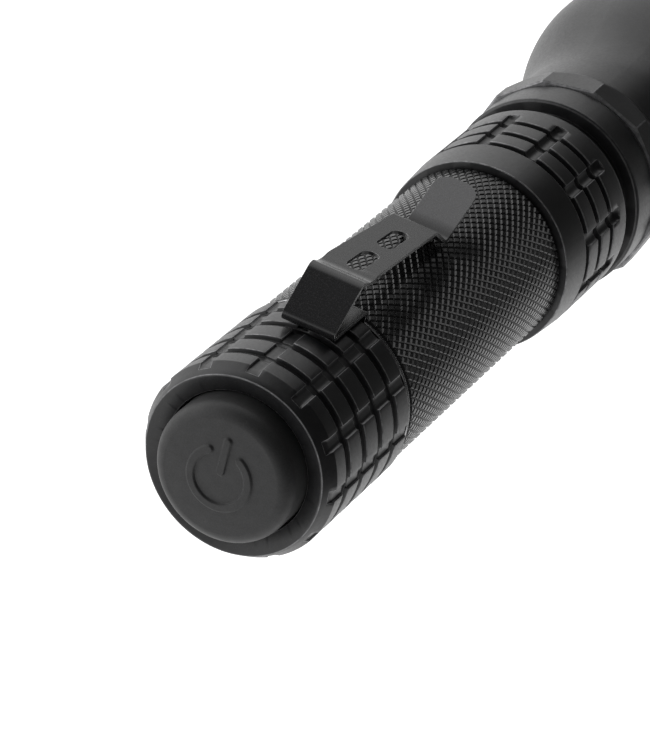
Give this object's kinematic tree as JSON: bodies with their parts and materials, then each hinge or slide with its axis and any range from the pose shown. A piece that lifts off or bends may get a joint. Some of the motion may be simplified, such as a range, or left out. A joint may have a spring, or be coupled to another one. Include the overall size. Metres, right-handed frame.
{
  "type": "tactical flashlight",
  "caption": "Slim cylindrical hand torch with a knurled barrel, grooved screw-on tail cap with rubber click switch, spring pocket clip, flared head, reflector and glass lens.",
  "frame": {"origin": "centre of the bezel's front face, on the torch's axis, where it stands when it stands on its head", "axes": "+Z runs along the axis from the lens to the tail switch; the pocket clip is on the -Y side; +X completes a right-handed frame"},
  "size_m": [0.0382, 0.0382, 0.1561],
  "materials": {
    "black_anodised_aluminium": "bead-blasted, hard-anodised black, semi-matte",
    "black_anodised_knurl": "fine diamond knurl, hard-anodised black",
    "black_spring_steel": "black-coated spring steel, satin",
    "black_rubber": "moulded silicone rubber, matte",
    "ivory_nylon": "moulded nylon",
    "green_circuit_board": "glass-fibre board with solder mask",
    "white_led_board": "aluminium board with white solder mask",
    "brass": "turned brass",
    "bright_steel": "bright steel",
    "bare_aluminium": "turned, uncoated",
    "polished_reflector": "vacuum-metallised mirror",
    "coated_glass": "clear coated glass",
    "led_ceramic": "ceramic LED package",
    "led_silicone": "clear silicone dome over yellow phosphor",
    "battery_wrap": "shrink wrap",
    "battery_card": "card insulator",
    "red_wire": "insulated wire",
    "black_wire": "insulated wire"
  },
  "bodies": {
    "body": {"body_tube": "black_anodised_knurl", "battery_cell": "battery_wrap", "battery_insulator": "battery_card", "battery_button": "bright_steel", "head_o_ring": "black_rubber", "head_body": "black_anodised_aluminium", "driver_board": "green_circuit_board", "driver_contact": "brass", "driver_retainer": "brass", "bell_housing": "black_anodised_aluminium", "bell_o_ring": "black_rubber", "heat_sink": "bare_aluminium", "led_board": "white_led_board", "led_package": "led_ceramic", "led_dome": "led_silicone", "led_gasket": "ivory_nylon", "led_screw_1": "bright_steel", "led_screw_2": "bright_steel", "led_wire_positive": "red_wire", "led_wire_negative": "black_wire", "reflector": "polished_reflector", "lens": "coated_glass", "lens_gasket": "black_rubber", "bezel_ring": "black_anodised_aluminium"},
    "tail_seal": {"tail_o_ring": "black_rubber"},
    "tail_cap": {"tail_cap": "black_anodised_aluminium", "boot_washer": "brass", "switch_housing": "ivory_nylon", "switch_board": "green_circuit_board", "switch_retainer": "brass", "tail_spring": "bright_steel", "plunger_spring": "bright_steel"},
    "tail_button": {"switch_boot": "black_rubber", "switch_plunger": "ivory_nylon"},
    "clip_base": {"clip_base": "black_spring_steel"},
    "clip_arm": {"clip_arm": "black_spring_steel"}
  },
  "joints": [
    {"name": "tail_cap_travel", "type": "slide", "parent": "body", "child": "tail_seal", "axis": [0, 0, 1], "range_m": [0, 0.0075]},
    {"name": "tail_cap_turn", "type": "hinge", "parent": "tail_seal", "child": "tail_cap", "pos_m": [0, 0, 0.14], "axis": [0, 0, 1], "range_deg": [0, 2160]},
    {"name": "button_press", "type": "slide", "parent": "tail_cap", "child": "tail_button", "axis": [0, 0, -1], "range_m": [0, 0.0018], "stiffness_N_per_m": 400, "deforming": ["switch_boot", "plunger_spring"]},
    {"name": "clip_swivel", "type": "hinge", "parent": "body", "child": "clip_base", "pos_m": [0, 0, 0.128], "axis": [0, 0, 1], "continuous": true},
    {"name": "clip_flex", "type": "hinge", "parent": "clip_base", "child": "clip_arm", "pos_m": [0, -0.0143, 0.1373], "axis": [-1, 0, 0], "range_deg": [0, 6], "stiffness_Nm_per_rad": 0.15}
  ],
  "couplings": [
    {"joint": "tail_cap_turn", "follows": "tail_cap_travel", "rad_per_m": 5026.5}
  ]
}
